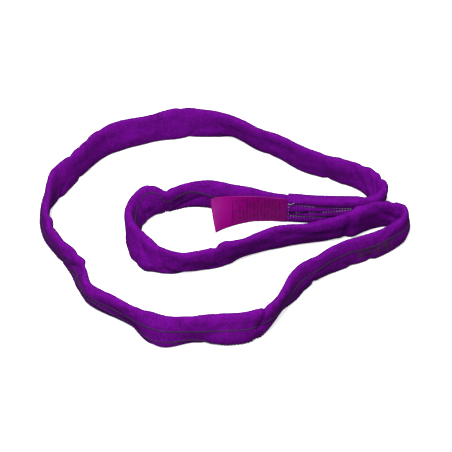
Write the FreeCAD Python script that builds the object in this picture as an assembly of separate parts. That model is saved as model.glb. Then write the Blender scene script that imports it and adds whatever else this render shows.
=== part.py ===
# Round sling, 1 t violet class, 1 m effective length, lying on its edge as a loose closed loop.
# Millimetres, +Z up, origin at the bottom centre of the whole loop, underside on z = 0.
import FreeCAD, Part
import math
import os

# Section of the filled cover, standing on its edge
belt_height = 42.0
belt_thickness = 12.0
edge_radius = 3.6
cover_wall = 1.2

# Sewn lap where the cover's end is pulled over its own beginning
cuff_length = 92.0
cuff_gap = 0.9            # room between the two layers of cover, where the label's root lies
collar_length = 3.0       # closed shoulder where the cover changes its section
cuff_place = 9.0          # from the start of the route to the cuff's shoulder
start_gap = 1.0           # from the cuff's shoulder to the cover's own beginning
cuff_edge_radius = 1.8
tuck_reach = 4.0          # how far the raised underside of the tucked beginning runs past the mouth

# Load-bearing core: one yarn wound round the loop in this many turns
core_columns = 2
core_rows = 6
turn_clearance = 0.1
tape_thickness = 0.3
tape_clearance = 0.1
tape_length = 32.0
tape_place = 330.0        # from the start of the route to the tape that holds the yarn's two ends

# Lap seam along the cover's outer side, with two rows of black stitching
seam_width = 1.0
seam_proud = 0.5
seam_low = 10.0           # height of the lower row
seam_spacing = 12.0       # from the lower row to the upper
seam_start = 40.0         # from the mouth of the cuff to the first stitch that shows
seam_end_gap = 1.0        # from the last stitch to the cuff's shoulder

# Grey stitching that closes the lap, and the row that holds the label
stitch_length = 3.0
stitch_pitch = 4.2
stitch_width = 0.9
stitch_proud = 0.5
closing_rows = {          # depth below the cuff's top at the mouth and at the far end, end distance from the mouth
    "closing_row_upper": (9.1, 11.6, 86.0),
    "closing_row_middle": (24.6, 13.6, 84.0),
    "closing_row_lower": (28.6, 27.1, 60.0),
}
row_inset = 5.2           # middle of a closing row's first stitch from the mouth
label_row_inset = 2.0     # label row from the mouth
label_row_low = 8.0       # lowest stitch above the floor
label_row_depth = 13.1    # highest stitch below the cuff's top
knot_radius = 1.5
knot_thickness = 1.8
knot_depth = 9.1          # below the cuff's top
tail_length = 7.0
tail_radius = 0.4
tail_lift = 3.0           # rise of the loose thread end over its length

# Identification label
label_length = 98.0
label_thickness = 0.6
label_clearance = 0.35    # from the root's long edges to the cuff's upper and lower walls
label_root_length = 24.0
label_tip_low = 0.8       # height of the lower corner at the free end
label_tip_lean = 45.0     # lean of the free end, in degrees
label_tip_out = 28.0      # how far the free end's lower corner stands out from the sewn end's plane
hinge_gap = 0.8           # from the mouth of the cuff to the line where the label bends
label_stations = 9

# Centreline of the loop in plan, clockwise from the shoulder of the cuff
route_points = [
    (173, 15.5), (134, 16.5), (94, 19), (58, 24.5), (22, 35), (-10, 46), (-44, 49), (-72, 36),
    (-98, 29), (-113, 9), (-118, -15), (-113, -43), (-96, -65), (-68, -78), (-36, -74), (0, -65),
    (34, -46), (66, -33), (104, -26), (144, -15), (174, -5), (199, 5.5), (217, 6.5), (229, -3),
    (228, -17), (214, -31), (192, -44), (158, -60), (120, -79), (92, -105), (72, -136), (54, -165),
    (30, -182), (-2, -186), (-36, -187), (-72, -190), (-98, -177), (-124, -155), (-154, -136),
    (-174, -108), (-190, -76), (-208, -47), (-223, -20), (-230, 12), (-227, 44), (-214, 74),
    (-194, 102), (-174, 137), (-148, 157), (-114, 169), (-84, 182), (-44, 191), (-4, 184),
    (24, 172), (46, 153), (70, 143), (104, 113), (132, 100), (166, 86), (190, 70), (204, 52),
    (205, 33), (191, 18.5),
]
arc_share = 0.45          # share of the shorter run that an arc takes up

half_thickness = belt_thickness / 2
cuff_inner = half_thickness + cuff_gap
cuff_outer = cuff_inner + cover_wall
shoulder_end = cuff_place + collar_length
cuff_mouth = cuff_place + cuff_length
tuck_lift = cuff_gap + cover_wall       # the tucked beginning stands on the cuff's lower wall
tucked_height = belt_height - tuck_lift
tucked_middle = tuck_lift + tucked_height / 2
cuff_height = belt_height + tuck_lift
label_low = cover_wall + label_clearance
label_width = cuff_height - 2 * label_low


def vector(x, y, z=0.0):
    return FreeCAD.Vector(x, y, z)


def corner(before, point, after):
    """The tangent arc that rounds one point of the route."""
    run_in = (point - before).Length
    run_out = (after - point).Length
    way_in = (point - before).normalize()
    way_out = (after - point).normalize()
    cross = way_in.x * way_out.y - way_in.y * way_out.x
    turn = math.atan2(cross, way_in.dot(way_out))
    tangent = arc_share * min(run_in, run_out)
    radius = tangent / math.tan(abs(turn) / 2)
    side = 1.0 if turn > 0 else -1.0
    start = point - way_in * tangent
    centre = start + vector(-way_in.y, way_in.x) * (side * radius)
    return {"start": start, "end": point + way_out * tangent, "centre": centre,
            "radius": radius, "turn": turn, "way": math.atan2(way_in.y, way_in.x)}


def route_pieces():
    """Straight runs and tangent arcs, one after the other, beginning halfway along the closing run."""
    points = [vector(x, y) for x, y in route_points]
    count = len(points)
    corners = [corner(points[i - 1], points[i], points[(i + 1) % count]) for i in range(count)]
    begin = (corners[-1]["end"] + corners[0]["start"]) * 0.5
    pieces = []
    here = begin
    for bend in corners:
        pieces.append(straight(here, bend["start"]))
        pieces.append({"kind": "arc", "centre": bend["centre"], "radius": bend["radius"],
                       "turn": bend["turn"], "way": bend["way"],
                       "length": bend["radius"] * abs(bend["turn"])})
        here = bend["end"]
    pieces.append(straight(here, begin))
    return pieces, corners


def straight(start, end):
    run = end - start
    return {"kind": "line", "start": start, "way": math.atan2(run.y, run.x), "length": run.Length}


pieces, corners = route_pieces()
route_length = sum(piece["length"] for piece in pieces)


def place_on(piece, along, offset, height):
    """Point and heading at a distance along one piece; a positive offset is on the loop's outer side."""
    if piece["kind"] == "line":
        way = piece["way"]
        base = piece["start"] + vector(math.cos(way), math.sin(way)) * along
    else:
        side = 1.0 if piece["turn"] > 0 else -1.0
        way = piece["way"] + side * along / piece["radius"]
        inward = vector(-math.sin(way), math.cos(way)) * side
        base = piece["centre"] - inward * piece["radius"]
    outward = vector(-math.sin(way), math.cos(way))
    return base + outward * offset + vector(0, 0, height), way


def place_at(distance, offset=0.0, height=0.0):
    """Point and heading at a distance along the whole route."""
    left = distance % route_length
    for piece in pieces:
        if left <= piece["length"]:
            return place_on(piece, left, offset, height)
        left -= piece["length"]
    return place_on(pieces[-1], pieces[-1]["length"], offset, height)


def path_wire(start, end, offset, height):
    """The stretch of route between two distances, moved sideways and up, as one wire."""
    edges = []
    base = 0.0
    laps = 2 if end > route_length else 1
    for piece in pieces * laps:
        low = max(start, base) - base
        high = min(end, base + piece["length"]) - base
        base += piece["length"]
        if high - low < 1e-6:
            continue
        first, way = place_on(piece, low, offset, height)
        last, way = place_on(piece, high, offset, height)
        if piece["kind"] == "line":
            edges.append(Part.makeLine(first, last))
        else:
            middle, way = place_on(piece, (low + high) / 2, offset, height)
            edges.append(Part.Arc(first, middle, last).toShape())
    return Part.Wire(edges)


def rounded_outline(width, height, radius):
    """A standing rounded rectangle about the origin, square to the X axis."""
    w, h, r = width / 2, height / 2, radius
    k = r * (1 - math.sqrt(0.5))
    arcs = []
    for sy, sz in ((1, 1), (-1, 1), (-1, -1), (1, -1)):
        flank = vector(0, sy * w, sz * (h - r))
        end = vector(0, sy * (w - r), sz * h)
        middle = vector(0, sy * (w - k), sz * (h - k))
        first, last = (flank, end) if sy * sz > 0 else (end, flank)
        arcs.append((first, middle, last))
    edges = []
    for index, (first, middle, last) in enumerate(arcs):
        edges.append(Part.Arc(first, middle, last).toShape())
        edges.append(Part.makeLine(last, arcs[(index + 1) % 4][0]))
    return Part.Wire(edges)


def flat_outline(width, height):
    """A plain upright strip about the origin, square to the X axis."""
    w, h = width / 2, height / 2
    ends = [vector(0, w, h), vector(0, -w, h), vector(0, -w, -h), vector(0, w, -h)]
    return Part.makePolygon(ends + ends[:1])


def sweep(outline, start, end, height, offset=0.0):
    """The solid that an outline makes along a stretch of the route."""
    path = path_wire(start, end, offset, height)
    point, way = place_at(start, offset, height)
    profile = outline.copy()
    profile.Placement = FreeCAD.Placement(point, FreeCAD.Rotation(vector(0, 0, 1), math.degrees(way)))
    return path.makePipe(Part.Face(profile))


def tube(outer, inner, start, end):
    """A stretch of tube between an outer and an inner outline, each given with its middle height."""
    solid = sweep(outer[0], start, end, outer[1])
    return solid.cut(sweep(inner[0], start, end, inner[1]))


def cover_sleeve():
    """Open woven tube: its end widens at a shoulder into the cuff, and its beginning lies in the cuff."""
    inner_width = belt_thickness - 2 * cover_wall
    inner_radius = edge_radius - cover_wall
    plain = (rounded_outline(belt_thickness, belt_height, edge_radius), belt_height / 2)
    inside = (rounded_outline(inner_width, belt_height - 2 * cover_wall, inner_radius), belt_height / 2)
    tucked = (rounded_outline(belt_thickness, tucked_height, edge_radius), tucked_middle)
    tucked_inside = (rounded_outline(inner_width, tucked_height - 2 * cover_wall, inner_radius),
                     tucked_middle)
    cuff_skin = (rounded_outline(2 * cuff_outer, cuff_height, cuff_edge_radius), cuff_height / 2)
    cuff_inside = (rounded_outline(2 * cuff_inner, cuff_height - 2 * cover_wall,
                                   cuff_edge_radius - cover_wall), cuff_height / 2)
    tuck_end = cuff_mouth + tuck_reach
    beginning = tube(tucked, tucked_inside, shoulder_end + start_gap, tuck_end)
    step = tube(plain, tucked_inside, tuck_end, tuck_end + collar_length)
    body = tube(plain, inside, tuck_end + collar_length, route_length + cuff_place)
    shoulder = tube(cuff_skin, tucked_inside, route_length + cuff_place, route_length + shoulder_end)
    cuff = tube(cuff_skin, cuff_inside, shoulder_end, cuff_mouth)
    return beginning.fuse([step, body, shoulder, cuff]).removeSplitter()


def core_space():
    """Width, height and corner radius of the room inside the tape that holds the core's turns."""
    lost = cover_wall + tape_clearance + tape_thickness + turn_clearance
    return belt_thickness - 2 * lost, tucked_height - 2 * lost, edge_radius - lost


def core_turn(column, row):
    """One closed turn of yarn, flattened by its neighbours."""
    width, height, radius = core_space()
    turn_width = (width - (core_columns - 1) * turn_clearance) / core_columns
    turn_height = (height - (core_rows - 1) * turn_clearance) / core_rows
    offset = (column - (core_columns - 1) / 2) * (turn_width + turn_clearance)
    level = tucked_middle + (row - (core_rows - 1) / 2) * (turn_height + turn_clearance)
    rounding = min(radius, 0.48 * min(turn_width, turn_height))
    return sweep(rounded_outline(turn_width, turn_height, rounding), 0.0, route_length, level, offset)


def core_end_tape():
    """Short wrap round all the turns, where the yarn's two ends are joined."""
    width, height, radius = core_space()
    inner = rounded_outline(width + 2 * turn_clearance, height + 2 * turn_clearance,
                            radius + turn_clearance)
    around = turn_clearance + tape_thickness
    outer = rounded_outline(width + 2 * around, height + 2 * around, radius + around)
    end = tape_place + tape_length
    return tube((outer, tucked_middle), (inner, tucked_middle), tape_place, end)


def seam_thread(height):
    """One row of stitching along the lap seam, on the loop's outer side."""
    outline = flat_outline(seam_proud, seam_width)
    start = cuff_mouth + seam_start
    end = route_length + cuff_place - seam_end_gap
    return sweep(outline, start, end, height, half_thickness + seam_proud / 2)


def stitch(distance, height, upright=False):
    """One stitch standing on the cuff's outer side."""
    along, up = (stitch_width, stitch_length) if upright else (stitch_length, stitch_width)
    block = Part.makeBox(along, stitch_proud, up, vector(-along / 2, 0, -up / 2))
    point, way = place_at(distance, cuff_outer, height)
    block.Placement = FreeCAD.Placement(point, FreeCAD.Rotation(vector(0, 0, 1), math.degrees(way)))
    return block


def closing_row(mouth_depth, far_depth, reach):
    """Stitches along the cuff, from its mouth towards its shoulder."""
    count = int((reach - row_inset) / stitch_pitch) + 1
    stitches = []
    for index in range(count):
        inset = row_inset + index * stitch_pitch
        depth = mouth_depth + (far_depth - mouth_depth) * inset / reach
        stitches.append(stitch(cuff_mouth - inset, cuff_height - depth))
    return Part.makeCompound(stitches)


def label_row():
    """Upright stitches that hold the label's root under the mouth of the cuff."""
    count = int((cuff_height - label_row_depth - label_row_low) / stitch_pitch) + 1
    distance = cuff_mouth - label_row_inset
    return Part.makeCompound([stitch(distance, label_row_low + index * stitch_pitch, True)
                              for index in range(count)])


def thread_knot():
    """Knot at the end of the closing thread, a flat bead on the cuff, with its loose end."""
    foot, way = place_at(cuff_mouth - label_row_inset, cuff_outer, cuff_height - knot_depth)
    outward = vector(-math.sin(way), math.cos(way))
    bead = Part.makeCylinder(knot_radius, knot_thickness, foot, outward)
    bead = bead.makeFillet(knot_thickness / 3, [bead.Edges[0], bead.Edges[2]])
    back = vector(-math.cos(way), -math.sin(way)) * tail_length + vector(0, 0, tail_lift)
    tail = Part.makeCylinder(tail_radius, back.Length, foot + outward * (knot_thickness / 2), back)
    return bead.fuse(tail)


def label_root():
    """The part of the label that is sewn in between the two layers of cover."""
    outline = flat_outline(label_thickness, label_width)
    middle = label_low + label_width / 2
    offset = half_thickness + cuff_gap / 2
    return sweep(outline, cuff_mouth - label_root_length, cuff_mouth, middle, offset)


def label_flap():
    """The label's free part: upright at the sewn end, leaning back on the sling at the free end."""
    point, way = place_at(cuff_mouth + hinge_gap, half_thickness + cuff_gap / 2, 0.0)
    ahead = vector(math.cos(way), math.sin(way))
    outward = vector(-math.sin(way), math.cos(way))
    sections = []
    for index in range(label_stations):
        share = index / (label_stations - 1)
        lean = math.radians(label_tip_lean) * share * share
        low = label_low + (label_tip_low - label_low) * share
        foot = point + ahead * (label_length * share) + outward * (label_tip_out * share * share)
        foot.z = low + label_thickness / 2 * math.sin(lean)
        rise = vector(0, 0, math.cos(lean)) - outward * math.sin(lean)
        across = (outward * math.cos(lean) + vector(0, 0, math.sin(lean))) * (label_thickness / 2)
        top = foot + rise * label_width
        corners_here = [foot + across, foot - across, top - across, top + across]
        sections.append(Part.makePolygon(corners_here + corners_here[:1]))
    return Part.makeLoft(sections, True, False)


def write(name, shape):
    solids = len(shape.Solids)
    stitched = name in closing_rows or name == "label_row"
    good = shape.isValid() and (solids > 1 if stitched else solids == 1)
    print(f"{name}: {solids} solid(s), {shape.Volume / 1000:.2f} cm3, {'ok' if good else 'CHECK'}")
    shape.exportStep(f"parts/{name}.step")


def all_parts():
    """Every node by name."""
    parts = {"cover_sleeve": cover_sleeve()}
    for column in range(core_columns):
        for row in range(core_rows):
            parts[f"core_turn_{column * core_rows + row + 1:02d}"] = core_turn(column, row)
    parts["core_end_tape"] = core_end_tape()
    parts["seam_thread_lower"] = seam_thread(seam_low)
    parts["seam_thread_upper"] = seam_thread(seam_low + seam_spacing)
    for name, row in closing_rows.items():
        parts[name] = closing_row(*row)
    parts["label_row"] = label_row()
    parts["thread_knot"] = thread_knot()
    parts["label_root"] = label_root()
    parts["label_flap"] = label_flap()
    return parts


if __name__ == "__main__":
    os.makedirs("parts", exist_ok=True)
    print("route length", round(route_length, 1))
    print("radii", [round(bend["radius"]) for bend in corners])
    for name, shape in all_parts().items():
        write(name, shape)
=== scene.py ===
import bpy
import bmesh
import math
import numpy as np
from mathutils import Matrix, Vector, noise


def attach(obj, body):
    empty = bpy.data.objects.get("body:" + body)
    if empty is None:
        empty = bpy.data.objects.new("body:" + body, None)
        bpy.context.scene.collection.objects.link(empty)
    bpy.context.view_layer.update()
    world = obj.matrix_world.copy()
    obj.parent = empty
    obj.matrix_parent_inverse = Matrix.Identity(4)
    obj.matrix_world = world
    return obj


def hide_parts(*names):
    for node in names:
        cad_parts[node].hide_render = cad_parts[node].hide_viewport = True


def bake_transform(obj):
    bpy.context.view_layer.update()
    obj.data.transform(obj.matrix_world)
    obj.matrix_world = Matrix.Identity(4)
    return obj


# Round sling lying on its edge: woven cover, lap seam, sewn cuff, label and the yarn core inside.
# Metres; along is the distance round the loop from the middle of the closing run.

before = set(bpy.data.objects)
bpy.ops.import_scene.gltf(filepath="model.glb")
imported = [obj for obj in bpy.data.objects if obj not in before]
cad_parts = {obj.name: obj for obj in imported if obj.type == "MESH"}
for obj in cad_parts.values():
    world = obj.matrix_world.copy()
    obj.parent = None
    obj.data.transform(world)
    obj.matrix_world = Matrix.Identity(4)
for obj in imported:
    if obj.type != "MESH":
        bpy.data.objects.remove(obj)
bpy.ops.object.select_all(action="DESELECT")
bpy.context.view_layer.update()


# camera, light, floor
cameraLook = {"at": (0.0024, -0.0124, 0.022), "distance": 1.9, "elevation": 45, "lens": 119.4}
studio = {
    "key": {"place": (-0.30, -0.78, 2.05), "size": 0.5, "power": 84},
    "fill": {"place": (1.3, -1.2, 1.0), "size": 1.0, "power": 4},
    "back": {"place": (0.5, 1.7, 0.9), "size": 1.2, "power": 9},
    "sky": 0.10,
    "floor": {"size": 40.0, "colour": (0.93, 0.93, 0.935, 1), "bounce": (0.22, 0.22, 0.225, 1), "glow": 0.72},
}


def makeCamera():
    tilt = math.radians(cameraLook["elevation"])
    x, y, z = cameraLook["at"]
    away = cameraLook["distance"]
    place = (x, y - away * math.cos(tilt), z + away * math.sin(tilt))
    bpy.ops.object.camera_add(location=place, rotation=(math.pi / 2 - tilt, 0, 0))
    camera = bpy.context.object
    camera.data.lens = cameraLook["lens"]
    camera.data.sensor_width = 36
    camera.data.clip_start = 0.05
    bpy.context.scene.camera = camera


def makeLight(name):
    values = studio[name]
    bpy.ops.object.light_add(type="AREA", location=values["place"])
    light = bpy.context.object
    light.name = name + "Light"
    light.data.size = values["size"]
    light.data.energy = values["power"]
    light.rotation_euler = (-Vector(values["place"])).to_track_quat("-Z", "Y").to_euler()


def makeStudio():
    scene = bpy.context.scene
    world = bpy.data.worlds.new("studioSky")
    world.use_nodes = True
    world.node_tree.nodes["Background"].inputs["Color"].default_value = (1, 1, 1, 1)
    world.node_tree.nodes["Background"].inputs["Strength"].default_value = studio["sky"]
    scene.world = world
    scene.view_settings.view_transform = "Standard"
    for name in ("key", "fill", "back"):
        makeLight(name)
    values = studio["floor"]
    bpy.ops.mesh.primitive_plane_add(size=values["size"], location=(0, 0, -0.0004))
    floor = bpy.context.object
    floor.name = "studioFloor"
    paint = bpy.data.materials.new("studioFloorPaint")
    paint.use_nodes = True
    shader = paint.node_tree.nodes["Principled BSDF"]
    shader.inputs["Roughness"].default_value = 0.9
    shader.inputs["Specular IOR Level"].default_value = 0.1
    shader.inputs["Emission Color"].default_value = (1, 1, 1, 1)
    rays = paint.node_tree.nodes.new("ShaderNodeLightPath")      # pale to look at, with little light back up
    tone = paint.node_tree.nodes.new("ShaderNodeMix")
    tone.data_type = "RGBA"
    tone.inputs[6].default_value = values["bounce"]
    tone.inputs[7].default_value = values["colour"]
    glow = paint.node_tree.nodes.new("ShaderNodeMath")
    glow.operation = "MULTIPLY"
    glow.inputs[1].default_value = values["glow"]
    links = paint.node_tree.links
    links.new(rays.outputs["Is Camera Ray"], tone.inputs[0])
    links.new(rays.outputs["Is Camera Ray"], glow.inputs[0])
    links.new(tone.outputs[2], shader.inputs["Base Color"])
    links.new(glow.outputs[0], shader.inputs["Emission Strength"])
    floor.data.materials.append(paint)


makeCamera()
makeStudio()
print("camera, lights and floor ready")


# materials
def addNode(tree, kind, place=(0, 0), **values):
    made = tree.nodes.new(kind)
    made.location = place
    for name, value in values.items():
        setattr(made, name, value)
    return made


def calc(tree, operation, first, second=None, third=None):
    made = addNode(tree, "ShaderNodeMath", operation=operation)
    for socket, value in zip(made.inputs, (first, second, third)):
        if value is None:
            continue
        if isinstance(value, (int, float)):
            socket.default_value = value
        else:
            tree.links.new(value, socket)
    return made.outputs[0]


def mixColour(tree, share, first, second, kind="MIX"):
    made = addNode(tree, "ShaderNodeMix", data_type="RGBA", blend_type=kind)
    for socket, value in ((made.inputs[0], share), (made.inputs[6], first), (made.inputs[7], second)):
        if isinstance(value, (int, float, tuple)):
            socket.default_value = value
        else:
            tree.links.new(value, socket)
    return made.outputs[2]


def newGroup(name, inputs, outputs):
    group = bpy.data.node_groups.new(name, "ShaderNodeTree")
    for label, kind, value in inputs:
        socket = group.interface.new_socket(name=label, in_out="INPUT", socket_type=kind)
        if value is not None:
            socket.default_value = value
    for label, kind in outputs:
        group.interface.new_socket(name=label, in_out="OUTPUT", socket_type=kind)
    return group, addNode(group, "NodeGroupInput", (-900, 0)), addNode(group, "NodeGroupOutput", (900, 0))


def coverWeaveGroup():
    group, given, result = newGroup(
        "coverWeave",
        [("Coord", "NodeSocketVector", None), ("Pitch", "NodeSocketFloat", 0.001)],
        [("Height", "NodeSocketFloat"), ("Shade", "NodeSocketFloat")])
    split = addNode(group, "ShaderNodeSeparateXYZ")
    group.links.new(given.outputs["Coord"], split.inputs[0])
    along = calc(group, "DIVIDE", split.outputs[0], given.outputs["Pitch"])
    across = calc(group, "DIVIDE", split.outputs[1], given.outputs["Pitch"])
    turn = calc(group, "MULTIPLY", calc(group, "FLOOR", across), math.pi)
    overUnder = calc(group, "SINE", calc(group, "ADD", calc(group, "MULTIPLY", along, math.pi), turn))
    warp = calc(group, "ABSOLUTE", calc(group, "SINE", calc(group, "MULTIPLY", across, math.pi)))
    weft = calc(group, "ABSOLUTE", calc(group, "SINE", calc(group, "MULTIPLY", along, math.pi)))
    top = calc(group, "MULTIPLY", warp, calc(group, "ADD", calc(group, "MULTIPLY", overUnder, 0.5), 0.5))
    under = calc(group, "MULTIPLY", weft, calc(group, "ADD", calc(group, "MULTIPLY", overUnder, -0.5), 0.5))
    height = calc(group, "MAXIMUM", top, under)
    group.links.new(height, result.inputs["Height"])
    slub = addNode(group, "ShaderNodeTexNoise")
    slub.inputs["Scale"].default_value = 1.0
    slub.inputs["Detail"].default_value = 2
    stretch = addNode(group, "ShaderNodeCombineXYZ")
    group.links.new(calc(group, "MULTIPLY", split.outputs[0], 60.0), stretch.inputs[0])
    group.links.new(calc(group, "MULTIPLY", split.outputs[1], 900.0), stretch.inputs[1])
    group.links.new(stretch.outputs[0], slub.inputs["Vector"])
    halfSlub = calc(group, "MULTIPLY", slub.outputs[0], 0.5)
    group.links.new(calc(group, "ADD", calc(group, "MULTIPLY", height, 0.5), halfSlub), result.inputs["Shade"])
    return group


def clothWearGroup():
    group, given, result = newGroup(
        "clothWear",
        [("Coord", "NodeSocketVector", None), ("Blotch Scale", "NodeSocketFloat", 40.0),
         ("Lint Amount", "NodeSocketFloat", 0.4)],
        [("Blotch", "NodeSocketFloat"), ("Lint", "NodeSocketFloat")])
    wide = addNode(group, "ShaderNodeTexNoise")
    wide.inputs["Detail"].default_value = 4
    wide.inputs["Roughness"].default_value = 0.6
    group.links.new(given.outputs["Coord"], wide.inputs["Vector"])
    group.links.new(given.outputs["Blotch Scale"], wide.inputs["Scale"])
    group.links.new(wide.outputs[0], result.inputs["Blotch"])
    fine = addNode(group, "ShaderNodeTexNoise")
    fine.inputs["Scale"].default_value = 900
    fine.inputs["Detail"].default_value = 1
    group.links.new(given.outputs["Coord"], fine.inputs["Vector"])
    specks = calc(group, "GREATER_THAN", fine.outputs[0], 0.66)
    amount = calc(group, "MULTIPLY", wide.outputs[0], given.outputs["Lint Amount"])
    group.links.new(calc(group, "MULTIPLY", specks, amount), result.inputs["Lint"])
    return group


def twistGroup():
    group, given, result = newGroup(
        "threadTwist",
        [("Coord", "NodeSocketVector", None), ("Turns", "NodeSocketFloat", 900.0)],
        [("Height", "NodeSocketFloat")])
    split = addNode(group, "ShaderNodeSeparateXYZ")
    group.links.new(given.outputs["Coord"], split.inputs[0])
    slant = calc(group, "ADD", split.outputs[0], split.outputs[2])
    wave = calc(group, "SINE", calc(group, "MULTIPLY", slant, given.outputs["Turns"]))
    group.links.new(calc(group, "ABSOLUTE", wave), result.inputs["Height"])
    return group


weave = coverWeaveGroup()
wear = clothWearGroup()
twist = twistGroup()


def newMaterial(name, roughness, specular):
    made = bpy.data.materials.new(name)
    made.use_nodes = True
    tree = made.node_tree
    shader = tree.nodes["Principled BSDF"]
    shader.inputs["Roughness"].default_value = roughness
    shader.inputs["Specular IOR Level"].default_value = specular
    return made, tree, shader


def addBump(tree, shader, height, distance, strength=1.0):
    bump = addNode(tree, "ShaderNodeBump")
    bump.inputs["Distance"].default_value = distance
    bump.inputs["Strength"].default_value = strength
    tree.links.new(height, bump.inputs["Height"])
    tree.links.new(bump.outputs[0], shader.inputs["Normal"])


def placeGroup(tree, group, coord, **values):
    made = addNode(tree, "ShaderNodeGroup")
    made.node_tree = group
    tree.links.new(coord, made.inputs["Coord"])
    for name, value in values.items():
        made.inputs[name.replace("_", " ")].default_value = value
    return made


coverLook = {
    "violet": (0.112, 0.0013, 0.190, 1), "deep": (0.052, 0.0008, 0.086, 1), "bloom": (0.165, 0.003, 0.270, 1),
    "lint": (0.17, 0.05, 0.22, 1), "weavePitch": 0.0011, "weaveDepth": 0.00022, "puckerDepth": 0.0022,
    "print": (0.060, 0.028, 0.030, 1), "printAlong": (0.7715, 0.8205),
    "printUp": (0.0135, 0.0285), "printBlock": 0.0118,
}


def coverMaterial():
    made, tree, shader = newMaterial("violetCover", 0.82, 0.03)
    uv = addNode(tree, "ShaderNodeUVMap", uv_map="aroundSling").outputs[0]
    objectCoord = addNode(tree, "ShaderNodeTexCoord").outputs["Object"]
    cloth = placeGroup(tree, weave, uv, Pitch=coverLook["weavePitch"])
    worn = placeGroup(tree, wear, objectCoord, Blotch_Scale=70.0, Lint_Amount=0.22)
    blotch = calc(tree, "MULTIPLY_ADD", worn.outputs["Blotch"], 2.6, -0.8)
    base = mixColour(tree, blotch, coverLook["deep"], coverLook["violet"])
    grain = addNode(tree, "ShaderNodeTexNoise")
    grain.inputs["Scale"].default_value = 420
    grain.inputs["Detail"].default_value = 3
    tree.links.new(objectCoord, grain.inputs["Vector"])
    base = mixColour(tree, calc(tree, "MULTIPLY_ADD", grain.outputs[0], 2.4, -0.95), base, coverLook["bloom"])
    threads = calc(tree, "MULTIPLY_ADD", cloth.outputs["Shade"], 1.5, -0.45)
    base = mixColour(tree, calc(tree, "MULTIPLY", threads, 0.45), base, coverLook["bloom"])
    base = mixColour(tree, worn.outputs["Lint"], base, coverLook["lint"])
    split = addNode(tree, "ShaderNodeSeparateXYZ")
    tree.links.new(uv, split.inputs[0])
    startAlong, endAlong = coverLook["printAlong"]
    low, high = coverLook["printUp"]
    inside = calc(tree, "MULTIPLY", calc(tree, "GREATER_THAN", split.outputs[0], startAlong),
                  calc(tree, "LESS_THAN", split.outputs[0], endAlong))
    inside = calc(tree, "MULTIPLY", inside, calc(tree, "GREATER_THAN", split.outputs[1], low))
    inside = calc(tree, "MULTIPLY", inside, calc(tree, "LESS_THAN", split.outputs[1], high))
    column = calc(tree, "FRACT", calc(tree, "DIVIDE", split.outputs[0], coverLook["printBlock"]))
    blocks = calc(tree, "MULTIPLY", inside, calc(tree, "LESS_THAN", column, 0.66))
    faded = calc(tree, "MULTIPLY", blocks, calc(tree, "MULTIPLY_ADD", grain.outputs[0], 2.6, -0.75))
    base = mixColour(tree, calc(tree, "MINIMUM", faded, 0.8), base, coverLook["print"])
    tree.links.new(base, shader.inputs["Base Color"])
    rough = calc(tree, "MULTIPLY_ADD", worn.outputs["Blotch"], 0.25, 0.68)
    tree.links.new(rough, shader.inputs["Roughness"])
    pucker = addNode(tree, "ShaderNodeTexNoise")
    pucker.inputs["Scale"].default_value = 75
    pucker.inputs["Detail"].default_value = 5
    tree.links.new(objectCoord, pucker.inputs["Vector"])
    woven = calc(tree, "MULTIPLY", cloth.outputs["Height"], coverLook["weaveDepth"])
    relief = calc(tree, "MULTIPLY_ADD", pucker.outputs[0], coverLook["puckerDepth"], woven)
    addBump(tree, shader, relief, 1.0)
    return made


def threadMaterial(name, colour, light, turns):
    made, tree, shader = newMaterial(name, 0.6, 0.25)
    objectCoord = addNode(tree, "ShaderNodeTexCoord").outputs["Object"]
    wound = placeGroup(tree, twist, objectCoord, Turns=turns)
    worn = placeGroup(tree, wear, objectCoord, Blotch_Scale=150.0, Lint_Amount=0.3)
    base = mixColour(tree, wound.outputs["Height"], colour, light)
    base = mixColour(tree, worn.outputs["Lint"], base, light)
    tree.links.new(base, shader.inputs["Base Color"])
    addBump(tree, shader, wound.outputs["Height"], 0.0001)
    return made


labelLook = {
    "film": (0.24, 0.0003, 0.165, 1), "pale": (0.31, 0.001, 0.235, 1), "ink": (0.075, 0.003, 0.05, 1),
    "through": 0.30, "rowPitch": 0.0046, "blockPitch": 0.0037,
    "printAlong": (0.032, 0.096), "printUp": (0.005, 0.036),
}


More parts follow.
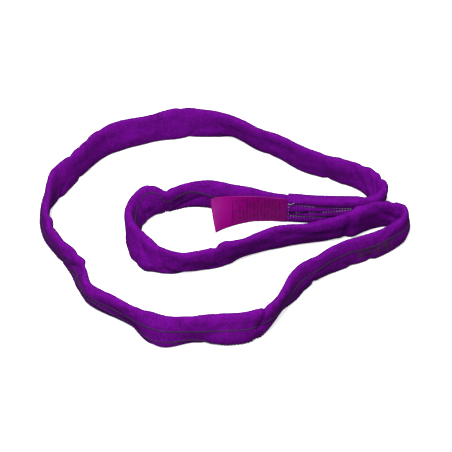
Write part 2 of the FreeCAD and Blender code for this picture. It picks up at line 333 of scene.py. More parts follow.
def labelMaterial():
    made, tree, shader = newMaterial("magentaFilm", 0.45, 0.04)
    shader.inputs["Transmission Weight"].default_value = labelLook["through"]
    shader.inputs["IOR"].default_value = 1.35
    uv = addNode(tree, "ShaderNodeUVMap", uv_map="filmPlace").outputs[0]
    objectCoord = addNode(tree, "ShaderNodeTexCoord").outputs["Object"]
    worn = placeGroup(tree, wear, objectCoord, Blotch_Scale=30.0, Lint_Amount=0.5)
    split = addNode(tree, "ShaderNodeSeparateXYZ")
    tree.links.new(uv, split.inputs[0])
    along, up = split.outputs[0], split.outputs[1]
    row = calc(tree, "FRACT", calc(tree, "DIVIDE", along, labelLook["rowPitch"]))
    rowIndex = calc(tree, "FLOOR", calc(tree, "DIVIDE", along, labelLook["rowPitch"]))
    blockPlace = calc(tree, "DIVIDE", up, labelLook["blockPitch"])
    shifted = calc(tree, "ADD", blockPlace, calc(tree, "MULTIPLY", rowIndex, 0.37))
    ragged = addNode(tree, "ShaderNodeTexWhiteNoise", noise_dimensions="2D")
    cell = addNode(tree, "ShaderNodeCombineXYZ")
    tree.links.new(rowIndex, cell.inputs[0])
    tree.links.new(calc(tree, "FLOOR", shifted), cell.inputs[1])
    tree.links.new(cell.outputs[0], ragged.inputs["Vector"])
    blockPart = calc(tree, "LESS_THAN", calc(tree, "FRACT", shifted), 0.86)
    bars = calc(tree, "MULTIPLY", calc(tree, "LESS_THAN", row, 0.42), blockPart)
    bars = calc(tree, "MULTIPLY", bars, calc(tree, "GREATER_THAN", ragged.outputs["Value"], 0.28))
    for place, (start, end) in ((along, labelLook["printAlong"]), (up, labelLook["printUp"])):
        bars = calc(tree, "MULTIPLY", bars, calc(tree, "GREATER_THAN", place, start))
        bars = calc(tree, "MULTIPLY", bars, calc(tree, "LESS_THAN", place, end))
    cloudy = calc(tree, "MULTIPLY_ADD", worn.outputs["Blotch"], 1.4, -0.45)
    base = mixColour(tree, cloudy, labelLook["film"], labelLook["pale"])
    base = mixColour(tree, calc(tree, "MULTIPLY", bars, 0.8), base, labelLook["ink"])
    tree.links.new(base, shader.inputs["Base Color"])
    tree.links.new(calc(tree, "MULTIPLY_ADD", worn.outputs["Blotch"], 0.3, 0.25), shader.inputs["Roughness"])
    addBump(tree, shader, worn.outputs["Blotch"], 0.0006, 0.5)
    return made


violetCover = coverMaterial()
blackThread = threadMaterial("blackThread", (0.006, 0.005, 0.007, 1), (0.022, 0.02, 0.026, 1), 1800.0)
greyThread = threadMaterial("greyThread", (0.12, 0.10, 0.13, 1), (0.27, 0.24, 0.28, 1), 1800.0)
coreYarn = threadMaterial("undyedYarn", (0.52, 0.50, 0.44, 1), (0.72, 0.70, 0.64, 1), 1400.0)
coreTape = threadMaterial("clothTape", (0.10, 0.10, 0.11, 1), (0.18, 0.18, 0.19, 1), 900.0)
magentaFilm = labelMaterial()
print("materials ready")


# the loop's route
routePoints = [
    (0.173, 0.0155), (0.134, 0.0165), (0.094, 0.019), (0.058, 0.0245), (0.022, 0.035), (-0.010, 0.046),
    (-0.044, 0.049), (-0.072, 0.036), (-0.098, 0.029), (-0.113, 0.009), (-0.118, -0.015),
    (-0.113, -0.043), (-0.096, -0.065), (-0.068, -0.078), (-0.036, -0.074), (0.0, -0.065),
    (0.034, -0.046), (0.066, -0.033), (0.104, -0.026), (0.144, -0.015), (0.174, -0.005),
    (0.199, 0.0055), (0.217, 0.0065), (0.229, -0.003), (0.228, -0.017), (0.214, -0.031),
    (0.192, -0.044), (0.158, -0.060), (0.120, -0.079), (0.092, -0.105), (0.072, -0.136),
    (0.054, -0.165), (0.030, -0.182), (-0.002, -0.186), (-0.036, -0.187), (-0.072, -0.190),
    (-0.098, -0.177), (-0.124, -0.155), (-0.154, -0.136), (-0.174, -0.108), (-0.190, -0.076),
    (-0.208, -0.047), (-0.223, -0.020), (-0.230, 0.012), (-0.227, 0.044), (-0.214, 0.074),
    (-0.194, 0.102), (-0.174, 0.137), (-0.148, 0.157), (-0.114, 0.169), (-0.084, 0.182),
    (-0.044, 0.191), (-0.004, 0.184), (0.024, 0.172), (0.046, 0.153), (0.070, 0.143), (0.104, 0.113),
    (0.132, 0.100), (0.166, 0.086), (0.190, 0.070), (0.204, 0.052), (0.205, 0.033), (0.191, 0.0185),
]
routeStart = (0.182, 0.017)          # middle of the closing run
routeStep = 0.003


def readRoute():
    curve = bpy.data.curves.new("slingRoute", "CURVE")
    curve.dimensions = "3D"
    spline = curve.splines.new("NURBS")
    spline.points.add(len(routePoints) - 1)
    for point, (x, y) in zip(spline.points, routePoints):
        point.co = (x, y, 0.021, 1)
    spline.use_cyclic_u = True
    spline.order_u = 3
    spline.resolution_u = 14
    holder = bpy.data.objects.new("slingRoute", curve)
    bpy.context.collection.objects.link(holder)
    bpy.context.view_layer.update()
    graph = bpy.context.evaluated_depsgraph_get()
    line = bpy.data.meshes.new_from_object(holder.evaluated_get(graph))
    points = np.array([v.co[:2] for v in line.vertices])
    bpy.data.objects.remove(holder)
    bpy.data.meshes.remove(line)
    first = int(np.linalg.norm(points - np.array(routeStart), axis=1).argmin())
    points = np.roll(points, -first, axis=0)
    closed = np.vstack([points, points[:1]])
    travelled = np.concatenate([[0], np.cumsum(np.linalg.norm(np.diff(closed, axis=0), axis=1))])
    length = travelled[-1]
    count = int(round(length / routeStep))
    along = np.arange(count) * length / count
    x = np.interp(along, travelled, closed[:, 0])
    y = np.interp(along, travelled, closed[:, 1])
    return along, np.stack([x, y], axis=1), length


def smoothRound(values, reach):
    kernel = np.exp(-np.linspace(-2, 2, 2 * reach + 1) ** 2)
    kernel /= kernel.sum()
    return np.convolve(np.concatenate([values[-reach:], values, values[:reach]]), kernel, "valid")


along, centre, loopLength = readRoute()
centre = np.stack([smoothRound(centre[:, 0], 2), smoothRound(centre[:, 1], 2)], axis=1)
heading = np.roll(centre, -1, axis=0) - np.roll(centre, 1, axis=0)
heading /= np.linalg.norm(heading, axis=1)[:, None]
outward = np.stack([-heading[:, 1], heading[:, 0]], axis=1)
turning = np.cross(np.roll(heading, 1, axis=0), np.roll(heading, -1, axis=0)) / (2 * loopLength / len(along))
turning = smoothRound(turning, 2)
stations = len(along)
print("route", round(loopLength, 4), "m,", stations, "stations")


# how the belt stands along the loop
# millimetres along, height, lean in degrees (top towards the loop's inside), sideways shift in millimetres
beltStance = [
    (0, 42.5, 0, -0.5), (110, 43, 0, -0.5), (160, 43, 5, -2), (199, 42, 9, -1), (228, 42, -2, 0),
    (252, 41, -8, 0), (264, 38, -4, 0), (278, 46, 12, -4), (296, 47, 18, -3), (320, 45, 16, -1),
    (345, 44, 0, -1), (366, 45, -22, 1), (384, 44, -22, 2), (404, 41, -8, 3), (438, 36, 8, 4),
    (474, 38, 8, 3), (488, 43, 4, 3), (518, 41, 16, 3), (557, 42, 7, 3), (597, 42, 14, 1),
    (637, 43, 8, 0), (655, 45, 5, 0.5), (672, 47, 1, 1.5), (694, 46, 2, 4), (714, 44, 4, 4.5),
    (728, 46, 2, 3), (744, 44, 2, 0), (762, 43, 2, -1.5), (796, 43, 3, -1), (836, 44, 4, -2),
    (876, 42, -5, 0.5), (900, 43, 6, -1.5), (925, 43, 8, -0.5), (955, 42, -15, -1), (985, 43, -2, 0.5),
    (1000, 45, 6, 2), (1035, 44, 18, 0), (1075, 41, 3, -3), (1104, 43, 20, 0), (1124, 44, 21, 0),
    (1154, 41, -9, -4), (1194, 38, 0, -2), (1222, 40, -6, 3), (1256, 44, 14, -4), (1276, 42, 4, -4),
    (1300, 40, -6, -2), (1330, 42, 0, 0.5), (1342, 44, 4, 1), (1362, 41, 7, 1), (1393, 42, 14, 0.5),
    (1433, 44, -16, 1), (1473, 44, -6, 0), (1513, 44, -8, 0), (1553, 44, -14, 1), (1592, 43, -9, 0.5),
    (1632, 44, -17, -1), (1672, 44, -7, -2), (1712, 44, 11, 0), (1752, 43, 10, 0), (1791, 42.5, 4, 0.5),
    (1831, 43, 4, 0), (1871, 43.5, 7, 0), (1911, 44, -2, 0.5), (1945, 44, -12, -3),
    (1972, 42.5, -4, -1),
]


def stanceColumn(index):
    places = [row[0] / 1000 for row in beltStance]
    values = [row[index] for row in beltStance]
    return smoothRound(np.interp(along, places, values, period=loopLength), 3)


heights = stanceColumn(1) / 1000
leans = np.radians(stanceColumn(2))
shifts = stanceColumn(3) / 1000


def outline(height, thickness, count, fullness=0.75):
    # points evenly spaced round a standing section, from the bottom up its outer side
    angle = np.linspace(-math.pi / 2, 1.5 * math.pi, 361)
    n = thickness / 2 * np.sign(np.cos(angle)) * np.abs(np.cos(angle)) ** fullness
    b = height / 2 * np.sign(np.sin(angle)) * np.abs(np.sin(angle)) ** fullness
    run = np.concatenate([[0], np.cumsum(np.hypot(np.diff(n), np.diff(b)))])
    at = np.arange(count) * run[-1] / count
    return np.interp(at, run, n), np.interp(at, run, b)


def sectionNormals(n, b):
    alongN = np.roll(n, -1) - np.roll(n, 1)
    alongB = np.roll(b, -1) - np.roll(b, 1)
    size = np.hypot(alongN, alongB)
    return alongB / size, -alongN / size


def placeSection(index, n, b, lift):
    # section coordinates at one station to points in the row frame
    lean, shift = leans[index], shifts[index]
    n2 = n * math.cos(lean) - b * math.sin(lean) + shift
    z = n * math.sin(lean) + b * math.cos(lean) + lift
    xy = centre[index][None, :] + outward[index][None, :] * n2[:, None]
    return np.column_stack([xy, z])


def standLift(index, height, thickness):
    n, b = outline(height, thickness, 72)
    return -float((n * math.sin(leans[index]) + b * math.cos(leans[index])).min())


sleeve = {
    "thickness": 0.0130, "around": 60, "girth": 0.098, "tuckedFrom": 0.013, "mouth": 0.101, "shoulder": 0.009,
    "tuckedHeight": 0.0396, "tuckedSlim": 0.0016, "tuckLift": 0.0021, "lump": 0.0010, "wrinkle": 0.0019,
}
# creases and swells: side, along and height at both ends, width, depth, in millimetres
sleeveFolds = [
    ("out", 262, 46, 264, -4, 3.0, -2.2), ("in", 262, 47, 262, 30, 3.0, -2.2),
    ("out", 278, 47, 264, 6, 2.2, -1.9), ("out", 287, 46, 288, 20, 6.0, 1.8),
    ("out", 300, 44, 296, 4, 2.6, -2.4), ("out", 312, 40, 308, 2, 4.0, -1.2),
    ("in", 345, 44, 352, 6, 5.0, 1.4), ("in", 360, 46, 396, 16, 3.5, -1.4),
    ("in", 374, -3, 380, 12, 3.0, -2.4), ("in", 390, -4, 396, 12, 5.0, 1.8),
    ("in", 404, 47, 414, 12, 3.5, -1.8), ("in", 420, 10, 450, -2, 4.0, -1.4),
    ("in", 478, 48, 482, 24, 3.0, -2.2), ("out", 478, 48, 480, 34, 3.0, -2.2),
    ("in", 494, 46, 500, 6, 5.0, 1.2), ("out", 212, 22, 252, 6, 3.0, -1.6),
    ("out", 150, 34, 204, 24, 4.0, 1.0), ("in", 560, 34, 640, 22, 6.0, -0.9),
    ("in", 612, 12, 648, -2, 4.0, -1.3), ("in", 656, 46, 652, -2, 4.0, -1.8),
    ("in", 668, 46, 664, 4, 6.0, 1.6), ("in", 690, 40, 716, 18, 3.0, -1.8),
    ("in", 704, 47, 716, 20, 2.6, -2.2), ("out", 714, 48, 716, 36, 3.0, -2.6),
    ("in", 724, 47, 728, 0, 2.6, -2.4), ("in", 734, 47, 738, 4, 2.6, -1.8),
    ("out", 738, 46, 742, 24, 3.5, -1.4), ("out", 772, 42, 790, 34, 3.5, -1.2),
    ("out", 800, -3, 806, 10, 3.5, -2.0), ("out", 824, -3, 836, 8, 3.5, -1.4),
    ("out", 884, -3, 888, 12, 3.0, -2.4), ("out", 905, 4, 930, 14, 4.0, -1.4),
    ("out", 944, 44, 962, 26, 3.5, -1.6), ("out", 984, 47, 1000, 20, 3.0, -2.4),
    ("in", 984, 47, 986, 34, 3.0, -2.2), ("out", 996, 20, 1004, -3, 3.5, -1.8),
    ("out", 1060, -3, 1064, 8, 4.0, -1.4), ("out", 1120, -2, 1152, 14, 3.5, -1.8),
    ("out", 1140, 47, 1160, 34, 4.0, -1.4), ("out", 1200, 46, 1236, 30, 4.0, -1.4),
    ("out", 1240, 42, 1272, 22, 3.5, -2.6), ("out", 1252, 48, 1286, 30, 4.0, 1.4),
    ("in", 1246, 46, 1262, 10, 4.0, -2.0), ("in", 1262, 47, 1290, 24, 3.5, -1.8),
    ("out", 1296, 0, 1310, 20, 3.5, -1.8), ("in", 1330, 47, 1336, 16, 3.0, -2.2),
    ("in", 1342, 46, 1346, 10, 4.0, 1.8), ("out", 1342, 40, 1352, 14, 4.0, -1.4),
    ("in", 1354, 40, 1364, 6, 3.0, -1.6), ("in", 1424, 0, 1432, 14, 4.0, -2.0),
    ("in", 1466, 47, 1472, -2, 3.5, -2.0), ("in", 1478, 46, 1488, 8, 5.0, 1.2),
    ("in", 1528, 47, 1536, 6, 3.5, -1.7), ("in", 1542, 44, 1552, 10, 5.0, 0.8),
    ("out", 1500, 48, 1506, 36, 4.0, -1.6), ("in", 1606, 44, 1612, 8, 5.0, -0.8),
    ("out", 1640, 48, 1644, 36, 4.0, -1.4), ("in", 1650, -2, 1660, 12, 4.0, -1.4),
    ("in", 1700, 4, 1726, -2, 4.0, -1.2), ("in", 1764, 44, 1770, 4, 4.0, -1.2),
    ("in", 1856, 46, 1862, 0, 4.0, -2.0), ("in", 1876, 46, 1882, 6, 5.0, 1.4),
    ("in", 1896, 40, 1926, 6, 3.0, -1.8), ("in", 1912, 47, 1944, 12, 2.6, -2.8),
    ("in", 1928, 47, 1958, 10, 2.6, -2.4), ("in", 1942, 47, 1966, 24, 2.4, -1.8),
    ("out", 1936, 48, 1944, 28, 2.8, -3.0), ("out", 1950, 46, 1956, 20, 3.5, 1.4),
    ("out", 1904, 46, 1920, 26, 3.0, -1.4),
]


def foldDepth(s, w):
    girth = sleeve["girth"] * 1000
    depth = np.zeros_like(s)
    for side, s1, z1, s2, z2, width, amount in sleeveFolds:
        w1 = girth / 4 + (z1 - 21) if side == "out" else 3 * girth / 4 - (z1 - 21)
        w2 = girth / 4 + (z2 - 21) if side == "out" else 3 * girth / 4 - (z2 - 21)
        ds, dw = s2 - s1, w2 - w1
        reach = math.hypot(ds, dw)
        share = ((s - s1) * ds + (w - w1) * dw) / reach ** 2
        aside = np.abs((s - s1) * dw - (w - w1) * ds) / reach
        past = np.maximum(np.maximum(-share, share - 1), 0) * reach
        depth += amount * np.exp(-(aside / width) ** 2 - (past / (width * 1.2)) ** 2)
    return depth


deepest = np.zeros(stations)          # how far the cover dips towards the core at each station


def sleeveGrid():
    values = sleeve
    around = values["around"]
    ends = (values["tuckedFrom"], loopLength + values["shoulder"])
    chosen = [i for i in range(stations) if along[i] >= ends[0]]
    chosen += [i + stations for i in range(stations) if along[i] <= values["shoulder"]]
    rows = []
    distances = []
    for index in chosen:
        i = index % stations
        s = along[i] + (loopLength if index >= stations else 0)
        covered = float(np.clip((values["mouth"] + 0.004 - s) / 0.006, 0, 1))
        height = heights[i] * (1 - covered) + values["tuckedHeight"] * covered
        n, b = outline(height, values["thickness"] - values["tuckedSlim"] * covered, around)
        normalN, normalB = sectionNormals(n, b)
        w = np.arange(around) / around * values["girth"] * 1000
        push = np.zeros(around)
        bend = turning[i]
        for k in range(around):
            ring = 2 * math.pi * k / around
            spot = Vector((s * 26, math.cos(ring) * 0.9, math.sin(ring) * 0.9))
            push[k] = values["lump"] * noise.noise(spot) * 1.6
            push[k] += 0.00035 * noise.noise(Vector((s * 90, math.cos(ring) * 2.2 + 7, math.sin(ring) * 2.2)))
            inner = 0.5 + 0.5 * math.tanh(math.copysign(1, bend) * n[k] / 0.003)
            tight = min(1.0, max(0.0, (abs(bend) - 13) / 40))
            ripple = noise.noise(Vector((s * 150, b[k] * 26 + s * 18, 3.3)))
            push[k] += values["wrinkle"] * tight * (0.25 + 0.75 * inner) * ripple
        push += foldDepth(np.full(around, s * 1000), w) / 1000
        calm = 1 - 0.8 * float(np.clip((values["mouth"] + 0.012 - s) / 0.012, 0, 1))
        calm *= 1 - 0.8 * float(np.clip((s - loopLength + 0.012) / 0.012, 0, 1))
        push *= calm
        deepest[i] = max(deepest[i], -float(push.min()))
        lift = standLift(i, height, values["thickness"]) + values["tuckLift"] * covered
        points = placeSection(i, n + normalN * push, b + normalB * push, lift)
        points[:, 2] = np.maximum(points[:, 2], 0.0003)
        rows.append(points)
        distances.append(s)
    return np.array(rows), np.array(distances)


def gridMesh(name, rows, distances, uvName, closeEnds=True):
    count, around = rows.shape[:2]
    mesh = bpy.data.meshes.new(name)
    faces = []
    for i in range(count - 1):
        for k in range(around):
            m = (k + 1) % around
            faces.append((i * around + k, i * around + m, (i + 1) * around + m, (i + 1) * around + k))
    if closeEnds:
        faces.append(tuple(range(around - 1, -1, -1)))
        faces.append(tuple((count - 1) * around + k for k in range(around)))
    mesh.from_pydata([tuple(p) for p in rows.reshape(-1, 3)], [], faces)
    layer = mesh.uv_layers.new(name=uvName)
    for number, face in enumerate(mesh.polygons):
        for corner, loop in enumerate(face.loop_indices):
            vertex = mesh.loops[loop].vertex_index
            i, k = divmod(vertex, around)
            if number < (count - 1) * around and k == 0 and number % around == around - 1:
                k = around
            layer.data[loop].uv = (distances[i], k / around * sleeve["girth"])
    made = linkMesh(name, mesh)
    return made


def linkMesh(name, mesh):
    made = bpy.data.objects.new(name, mesh)
    bpy.context.collection.objects.link(made)
    turnOutwards(made)
    return made


def addWall(made, thickness, offset):
    wall = made.modifiers.new("wall", "SOLIDIFY")
    wall.thickness = thickness
    wall.offset = offset
    bpy.context.view_layer.objects.active = made
    made.select_set(True)
    bpy.ops.object.modifier_apply(modifier="wall")
    made.select_set(False)


def turnOutwards(made):
    shape = bmesh.new()
    shape.from_mesh(made.data)
    bmesh.ops.recalc_face_normals(shape, faces=shape.faces)
    shape.to_mesh(made.data)
    shape.free()
    for face in made.data.polygons:
        face.use_smooth = True


def finishPiece(made, material, nodes, body="sling"):
    made.data.materials.clear()
    made.data.materials.append(material)
    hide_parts(*nodes)
    if body:
        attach(made, body)


sleeveRows, sleeveAlong = sleeveGrid()
coverSleeve = gridMesh("coverSleeve", sleeveRows, sleeveAlong, "aroundSling")
finishPiece(coverSleeve, violetCover, ["cover_sleeve"])
print("sleeve", len(coverSleeve.data.polygons), "faces")


# the sewn cuff over the lap
cuff = {
    "start": 0.0015, "shoulderEnd": 0.013, "mouth": 0.101, "around": 64, "step": 0.0016, "wall": 0.0007,
    "startThickness": 0.0128, "startHeight": 0.0424,
    "thickness": 0.0170, "height": 0.0441, "groove": 0.0018, "grooveWidth": 0.0021, "swell": 0.0016,
}
# depth below the cuff's top at the mouth and at the far end, and how far the row runs from the mouth
closingRows = {
    "closingRowUpper": ("closing_row_upper", 0.0108, 0.0140, 0.086),
    "closingRowMiddle": ("closing_row_middle", 0.0250, 0.0160, 0.084),
    "closingRowLower": ("closing_row_lower", 0.0305, 0.0290, 0.062),
}


def between(grid, distances, s):
    # the ring of a grid at any distance
    at = float(np.interp(s, distances, np.arange(len(distances))))
    low = min(int(at), len(distances) - 2)
    return grid[low] * (1 - (at - low)) + grid[low + 1] * (at - low)


def stationNumber(s):
    return int(round((s % loopLength) / loopLength * stations)) % stations


def frameAt(s):
    at = (s % loopLength) / loopLength * stations
    low = int(at) % stations
    high = (low + 1) % stations
    share = at - int(at)
    middle = centre[low] * (1 - share) + centre[high] * share
    side = outward[low] * (1 - share) + outward[high] * share
    side /= np.linalg.norm(side)
    return middle, side, low


def cuffGrid():
    values = cuff
    rows = []
    distances = np.arange(values["start"], values["mouth"] + 1e-6, values["step"])
    distances[-1] = values["mouth"]
    for s in distances:
        middle, side, i = frameAt(s)
        wide = float(np.clip((s - values["start"]) / (values["shoulderEnd"] - values["start"]), 0, 1))
        wide = wide * wide * (3 - 2 * wide)
        thickness = values["startThickness"] + (values["thickness"] - values["startThickness"]) * wide
        height = values["startHeight"] + (values["height"] - values["startHeight"]) * wide
        n, b = outline(height, thickness, values["around"], 0.66)
        normalN, normalB = sectionNormals(n, b)
        push = np.zeros(values["around"])
        inset = values["mouth"] - s
        for k in range(values["around"]):
            depthHere = height / 2 - b[k]
            if n[k] > 0:
                for name, (node, near, far, reach) in closingRows.items():
                    if inset > reach + 0.002:
                        continue
                    row = near + (far - near) * min(inset, reach) / reach
                    push[k] -= values["groove"] * math.exp(-((depthHere - row) / values["grooveWidth"]) ** 2)
                push[k] += values["swell"] * math.exp(-((depthHere - 0.0035) / 0.004) ** 2)
                push[k] += 0.0006 * math.exp(-((depthHere - 0.020 + 0.02 * inset) / 0.003) ** 2)
            ring = 2 * math.pi * k / values["around"]
            push[k] += 0.0005 * noise.noise(Vector((s * 45, math.cos(ring) * 1.4, math.sin(ring) * 1.4 + 4)))
        push *= wide
        n2 = n + normalN * push + shifts[i]
        z = b + normalB * push + height / 2
        rows.append(np.column_stack([middle[None, :] + side[None, :] * n2[:, None], np.maximum(z, 0.0002)]))
    return np.array(rows), distances


cuffRows, cuffAlong = cuffGrid()
coverCuff = gridMesh("coverCuff", cuffRows, cuffAlong, "aroundSling", closeEnds=False)
addWall(coverCuff, cuff["wall"], -1)
finishPiece(coverCuff, violetCover, ["cover_sleeve"])
print("cuff", len(coverCuff.data.polygons), "faces")


# stitches
stitchSize = {
    "seam": {"length": 0.0040, "width": 0.0016, "height": 0.0008},
    "closing": {"length": 0.0024, "width": 0.0008, "height": 0.0006},
}


def stitchShape(kind):
    # one rounded stitch, its underside flat on the cloth
    size = stitchSize[kind]
    bpy.ops.mesh.primitive_uv_sphere_add(segments=8, ring_count=6, radius=0.5)
    made = bpy.context.object
    made.scale = (size["length"], size["width"], size["height"] * 2)
    bpy.ops.object.transform_apply(location=False, rotation=False, scale=True)
    points = np.array([v.co[:] for v in made.data.vertices])
    points[:, 2] = np.where(points[:, 2] < 0, points[:, 2] * 0.5, points[:, 2])
    faces = [tuple(f.vertices) for f in made.data.polygons]
    bpy.data.objects.remove(made)
    return points, faces


def surfaceSpot(grid, distances, s, w):
    # point, direction along the loop and outward normal on a swept grid
    around = grid.shape[1]
    k = (w / sleeve["girth"] * around) % around
    low = int(k)
    share = k - low
    def onRing(distance):
        ring = between(grid, distances, distance)
        return ring[low] * (1 - share) + ring[(low + 1) % around] * share, ring
    spot, ring = onRing(s)
    ahead = onRing(min(s + 0.002, distances[-1]))[0] - onRing(max(s - 0.002, distances[0]))[0]
    ahead /= np.linalg.norm(ahead)
    rise = ring[(low + 2) % around] - ring[(low - 1) % around]
    rise /= np.linalg.norm(rise)
    normal = np.cross(rise, ahead)
    normal /= np.linalg.norm(normal)
    middle = ring.mean(axis=0)
    if np.dot(normal, spot - middle) < 0:
        normal = -normal
    return spot, ahead, normal


def sewRow(name, kind, spots):
    # spots: point, direction, normal
    points, faces = stitchShape(kind)
    allPoints = []
    allFaces = []
    for spot, ahead, normal in spots:
        side = np.cross(normal, ahead)
        side /= np.linalg.norm(side)
        base = len(allPoints)
        for x, y, z in points:
            allPoints.append(tuple(spot + ahead * x + side * y + normal * z))
        allFaces += [tuple(base + v for v in face) for face in faces]
    mesh = bpy.data.meshes.new(name)
    mesh.from_pydata(allPoints, [], allFaces)
    made = linkMesh(name, mesh)
    return made


# millimetres along, height of the row above or below the middle of the outer side
upperSeam = [
    (101, 1), (198, 1), (214, 7), (236, 12), (250, 10), (262, 2), (274, 13), (288, 16), (300, 8),
    (420, 4), (748, 3), (770, 6), (818, 4), (870, 7), (890, 3), (955, 3), (1010, 2), (1066, 2),
    (1116, 4), (1138, 4), (1170, 1), (1204, 5), (1220, 9), (1266, 2), (1330, 4), (1960, 4), (1990, 2),
]
lowerSeam = [
    (101, -20), (740, -20), (1040, -20), (1072, -14), (1090, -12), (1130, -12), (1150, -15),
    (1180, -10), (1204, -1), (1228, 2), (1252, -2), (1280, -12), (1330, -19), (1990, -20),
]
seam = {"pitch": 0.0038, "from": 0.141, "until": 0.004}


def seamSpots(table):
    places = [row[0] / 1000 for row in table]
    values = [row[1] for row in table]
    spots = []
    s = seam["from"]
    while s < loopLength - seam["until"]:
        w = sleeve["girth"] / 4 + float(np.interp(s, places, values)) / 1000
        spots.append(surfaceSpot(sleeveRows, sleeveAlong, s, w))
        s += seam["pitch"]
    return spots


seamRows = [
    ("seamStitchesUpper", "seam_thread_upper", upperSeam),
    ("seamStitchesLower", "seam_thread_lower", lowerSeam),
]
for name, node, table in seamRows:
    row = sewRow(name, "seam", seamSpots(table))
    finishPiece(row, blackThread, [node])


def cuffSpot(inset, depth, upright=False):
    # a place on the cuff's outer side, by its distance from the mouth and its depth below the top
    s = cuff["mouth"] - inset
    ring = between(cuffRows, cuffAlong, s)
    half = len(ring) // 2
    outer = ring[2:half]
    target = ring[:, 2].max() - depth
    k = 2 + int(np.abs(outer[:, 2] - target).argmin())
    w = k / len(ring) * sleeve["girth"]
    spot, ahead, normal = surfaceSpot(cuffRows, cuffAlong, s, w)
    spot = spot.copy()
    spot[2] = target
    if upright:
        ahead = np.cross(normal, ahead)
    return spot, ahead, normal


rowSewing = {
    "firstInset": 0.0052, "pitch": 0.0034,
    "labelInset": 0.002, "labelLowest": 0.0361, "labelPitch": 0.0042, "labelCount": 6,
}

for name, (node, near, far, reach) in closingRows.items():
    spots = []
    inset = rowSewing["firstInset"]
    while inset < reach:
        spots.append(cuffSpot(inset, near + (far - near) * inset / reach))
        inset += rowSewing["pitch"]
    row = sewRow(name, "closing", spots)
    finishPiece(row, greyThread, [node])
labelSpots = [cuffSpot(rowSewing["labelInset"], rowSewing["labelLowest"] - rowSewing["labelPitch"] * i, True)
              for i in range(rowSewing["labelCount"])]
labelRow = sewRow("labelRowStitches", "closing", labelSpots)
finishPiece(labelRow, greyThread, ["label_row"])
print("stitching done")


# knot and loose thread end
knot = {"inset": 0.0022, "depth": 0.0091, "radius": 0.0011, "threadRadius": 0.00042, "tail": 0.0072}


def threadTube(name, points, radius):
    curve = bpy.data.curves.new(name, "CURVE")
    curve.dimensions = "3D"
    curve.bevel_depth = radius
    curve.bevel_resolution = 3
    curve.use_fill_caps = True
    spline = curve.splines.new("NURBS")
    spline.points.add(len(points) - 1)
    for point, place in zip(spline.points, points):
        point.co = (*place, 1)
    spline.order_u = 3
    spline.use_endpoint_u = True
    spline.resolution_u = 4
    holder = bpy.data.objects.new(name, curve)
    bpy.context.collection.objects.link(holder)
    bpy.context.view_layer.update()
    mesh = bpy.data.meshes.new_from_object(holder.evaluated_get(bpy.context.evaluated_depsgraph_get()))
    bpy.data.objects.remove(holder)
    made = linkMesh(name, mesh)
    return made


def closingKnot():
    spot, ahead, normal = cuffSpot(knot["inset"], knot["depth"])
    side = np.cross(normal, ahead)
    points = []
    for step in range(26):
        turn = step / 25 * 2 * math.pi * 2.6
        swing = knot["radius"] * (0.75 + 0.25 * math.sin(turn * 1.7))
        rise = 0.0008 + 0.0004 * math.sin(turn * 0.8)
        points.append(spot + normal * rise + ahead * swing * math.cos(turn) + side * swing * math.sin(turn))
    up = np.array([0, 0, 1.0])
    for share in (0.25, 0.5, 0.75, 1.0):
        rise = 0.0012 + 0.0006 * math.sin(share * 5)
        points.append(spot + normal * rise - ahead * (knot["tail"] * share) + up * (0.003 * share ** 1.5))
    return threadTube("closingKnot", points, knot["threadRadius"])


knotPiece = closingKnot()
finishPiece(knotPiece, greyThread, ["thread_knot"])


# label, one film from its sewn root to its free end
label = {
    "root": 0.024, "flap": 0.098, "hinge": 0.1018, "width": 0.041, "low": 0.00155, "tipLow": 0.0008,
    "film": 0.0004, "stations": 96, "rows": 34, "heading": (-0.98962, 0.14365), "rootOffset": 0.0061,
}
# share of the flap, how far the lower edge stands out, lean back in degrees
labelCurl = [
    (0, 0, 0), (0.2, 0.8, 1), (0.42, 4.6, 6), (0.64, 13.4, 19), (0.83, 22.0, 33), (0.92, 26.5, 39),
    (1, 30.0, 44),
]


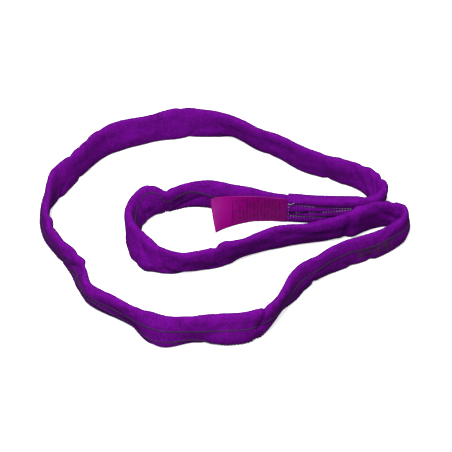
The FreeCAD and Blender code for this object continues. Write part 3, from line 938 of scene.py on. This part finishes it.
def labelFilm():
    values = label
    hingeMiddle, hingeSide, i = frameAt(values["hinge"])
    ahead = np.array(values["heading"])          # the flap keeps the cloth's heading at the mouth
    side = np.array([-ahead[1], ahead[0]])
    rootOffset = values["rootOffset"] + shifts[i]
    hingePoint = hingeMiddle + hingeSide * rootOffset
    shares = [row[0] for row in labelCurl]
    mesh = bpy.data.meshes.new("labelFilm")
    points = []
    places = []
    total = values["root"] + values["flap"]
    for number in range(values["stations"] + 1):
        run = total * number / values["stations"]
        flap = (run - values["root"]) / values["flap"]
        share = max(0.0, flap)
        out = float(np.interp(share, shares, [row[1] for row in labelCurl])) / 1000
        lean = math.radians(float(np.interp(share, shares, [row[2] for row in labelCurl])))
        low = values["low"] + (values["tipLow"] - values["low"]) * share
        if flap < 0:
            middle, across, k = frameAt(values["hinge"] + flap * values["flap"])
            foot = middle + across * rootOffset
            outDirection = across
        else:
            foot = hingePoint + ahead * (values["flap"] * share) + side * out
            outDirection = side
        for row in range(values["rows"] + 1):
            up = row / values["rows"]
            tuck = min(1.0, max(0.0, -flap * values["flap"] / 0.004))
            climb = values["width"] * (up * (1 - 0.2 * tuck) + 0.1 * tuck)
            bow = 0.0011 * math.sin(math.pi * up) * share + 0.0009 * share * math.sin(share * 9 + up * 2.5)
            curl = 0.0045 * max(0, share - 0.86) / 0.14 * max(0, 0.35 - up)
            x, y = foot + outDirection * (bow + curl - climb * math.sin(lean))
            if share > 0:
                back = 0.011 * share ** 4 * (1 - up) ** 1.3
                x, y = np.array([x, y]) - ahead * back
            points.append((x, y, low + climb * math.cos(lean)))
            places.append((run, climb))
    faces = []
    wide = values["rows"] + 1
    for number in range(values["stations"]):
        for row in range(values["rows"]):
            a = number * wide + row
            faces.append((a, a + wide, a + wide + 1, a + 1))
    mesh.from_pydata(points, [], faces)
    layer = mesh.uv_layers.new(name="filmPlace")
    for loop in mesh.loops:
        layer.data[loop.index].uv = places[loop.vertex_index]
    made = bpy.data.objects.new("labelFilm", mesh)
    bpy.context.collection.objects.link(made)
    for face in mesh.polygons:
        face.use_smooth = True
    addWall(made, values["film"], 0)
    turnOutwards(made)
    return made, hingePoint, ahead


labelPiece, hingePoint, labelAhead = labelFilm()
finishPiece(labelPiece, magentaFilm, ["label_root", "label_flap"], body=None)
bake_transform(labelPiece)
print("label done")


# yarn core and its tape
core = {
    "columns": 2, "rows": 6, "gap": 0.0001, "inset": 0.0016, "around": 10,
    "mostRoom": 0.0053, "tuckedUntil": 0.105,
}

nearDip = np.maximum(np.maximum(deepest, np.roll(deepest, 2)), np.roll(deepest, -2))
coreRoom = np.minimum(core["inset"] + 0.95 * smoothRound(nearDip, 3), core["mostRoom"])


def coreTurn(column, row):
    name = f"coreTurn{column * core['rows'] + row + 1:02d}"
    rings = []
    for i in range(stations):
        tucked = along[i] < core["tuckedUntil"]
        beltHeight = sleeve["tuckedHeight"] if tucked else heights[i]
        height = beltHeight - 2 * coreRoom[i] - 0.0016
        width = sleeve["thickness"] - 2 * coreRoom[i] - 0.0004
        turnWidth = width / core["columns"] - core["gap"]
        turnHeight = height / core["rows"] - core["gap"]
        n, b = outline(turnHeight, turnWidth, core["around"], 0.85)
        n = n + (column - 0.5) * (width / 2)
        b = b + (row - 2.5) * (height / 6)
        wander = 0.00012 * math.sin(along[i] * 70 + column * 2 + row)
        lift = standLift(i, beltHeight, sleeve["thickness"]) + (sleeve["tuckLift"] if tucked else 0)
        rings.append(placeSection(i, n + wander, b, lift))
    rings = np.array(rings)
    around = core["around"]
    mesh = bpy.data.meshes.new(name)
    faces = []
    for i in range(stations):
        j = (i + 1) % stations
        for k in range(around):
            m = (k + 1) % around
            faces.append((i * around + k, i * around + m, j * around + m, j * around + k))
    mesh.from_pydata([tuple(p) for p in rings.reshape(-1, 3)], [], faces)
    made = linkMesh(name, mesh)
    finishPiece(made, coreYarn, [f"core_turn_{name[-2:]}"])


for column in range(core["columns"]):
    for row in range(core["rows"]):
        coreTurn(column, row)


tape = {"from": 0.330, "until": 0.3621, "step": 0.002, "wall": 0.0003, "around": 40}


def tapeWrap():
    rings = []
    distances = np.arange(tape["from"], tape["until"], tape["step"])
    for s in distances:
        i = stationNumber(s)
        room = 2 * coreRoom[i] - 0.0010
        n, b = outline(heights[i] - room, sleeve["thickness"] - room, tape["around"])
        rings.append(placeSection(i, n, b, standLift(i, heights[i], sleeve["thickness"])))
    made = gridMesh("coreEndTape", np.array(rings), distances, "aroundCore", closeEnds=False)
    addWall(made, tape["wall"], -1)
    finishPiece(made, coreTape, ["core_end_tape"])


tapeWrap()
print("core done")


# the sling as one free cord
for s in np.arange(sleeveAlong[0], sleeveAlong[-1], 0.006):
    middle, side, i = frameAt(s)
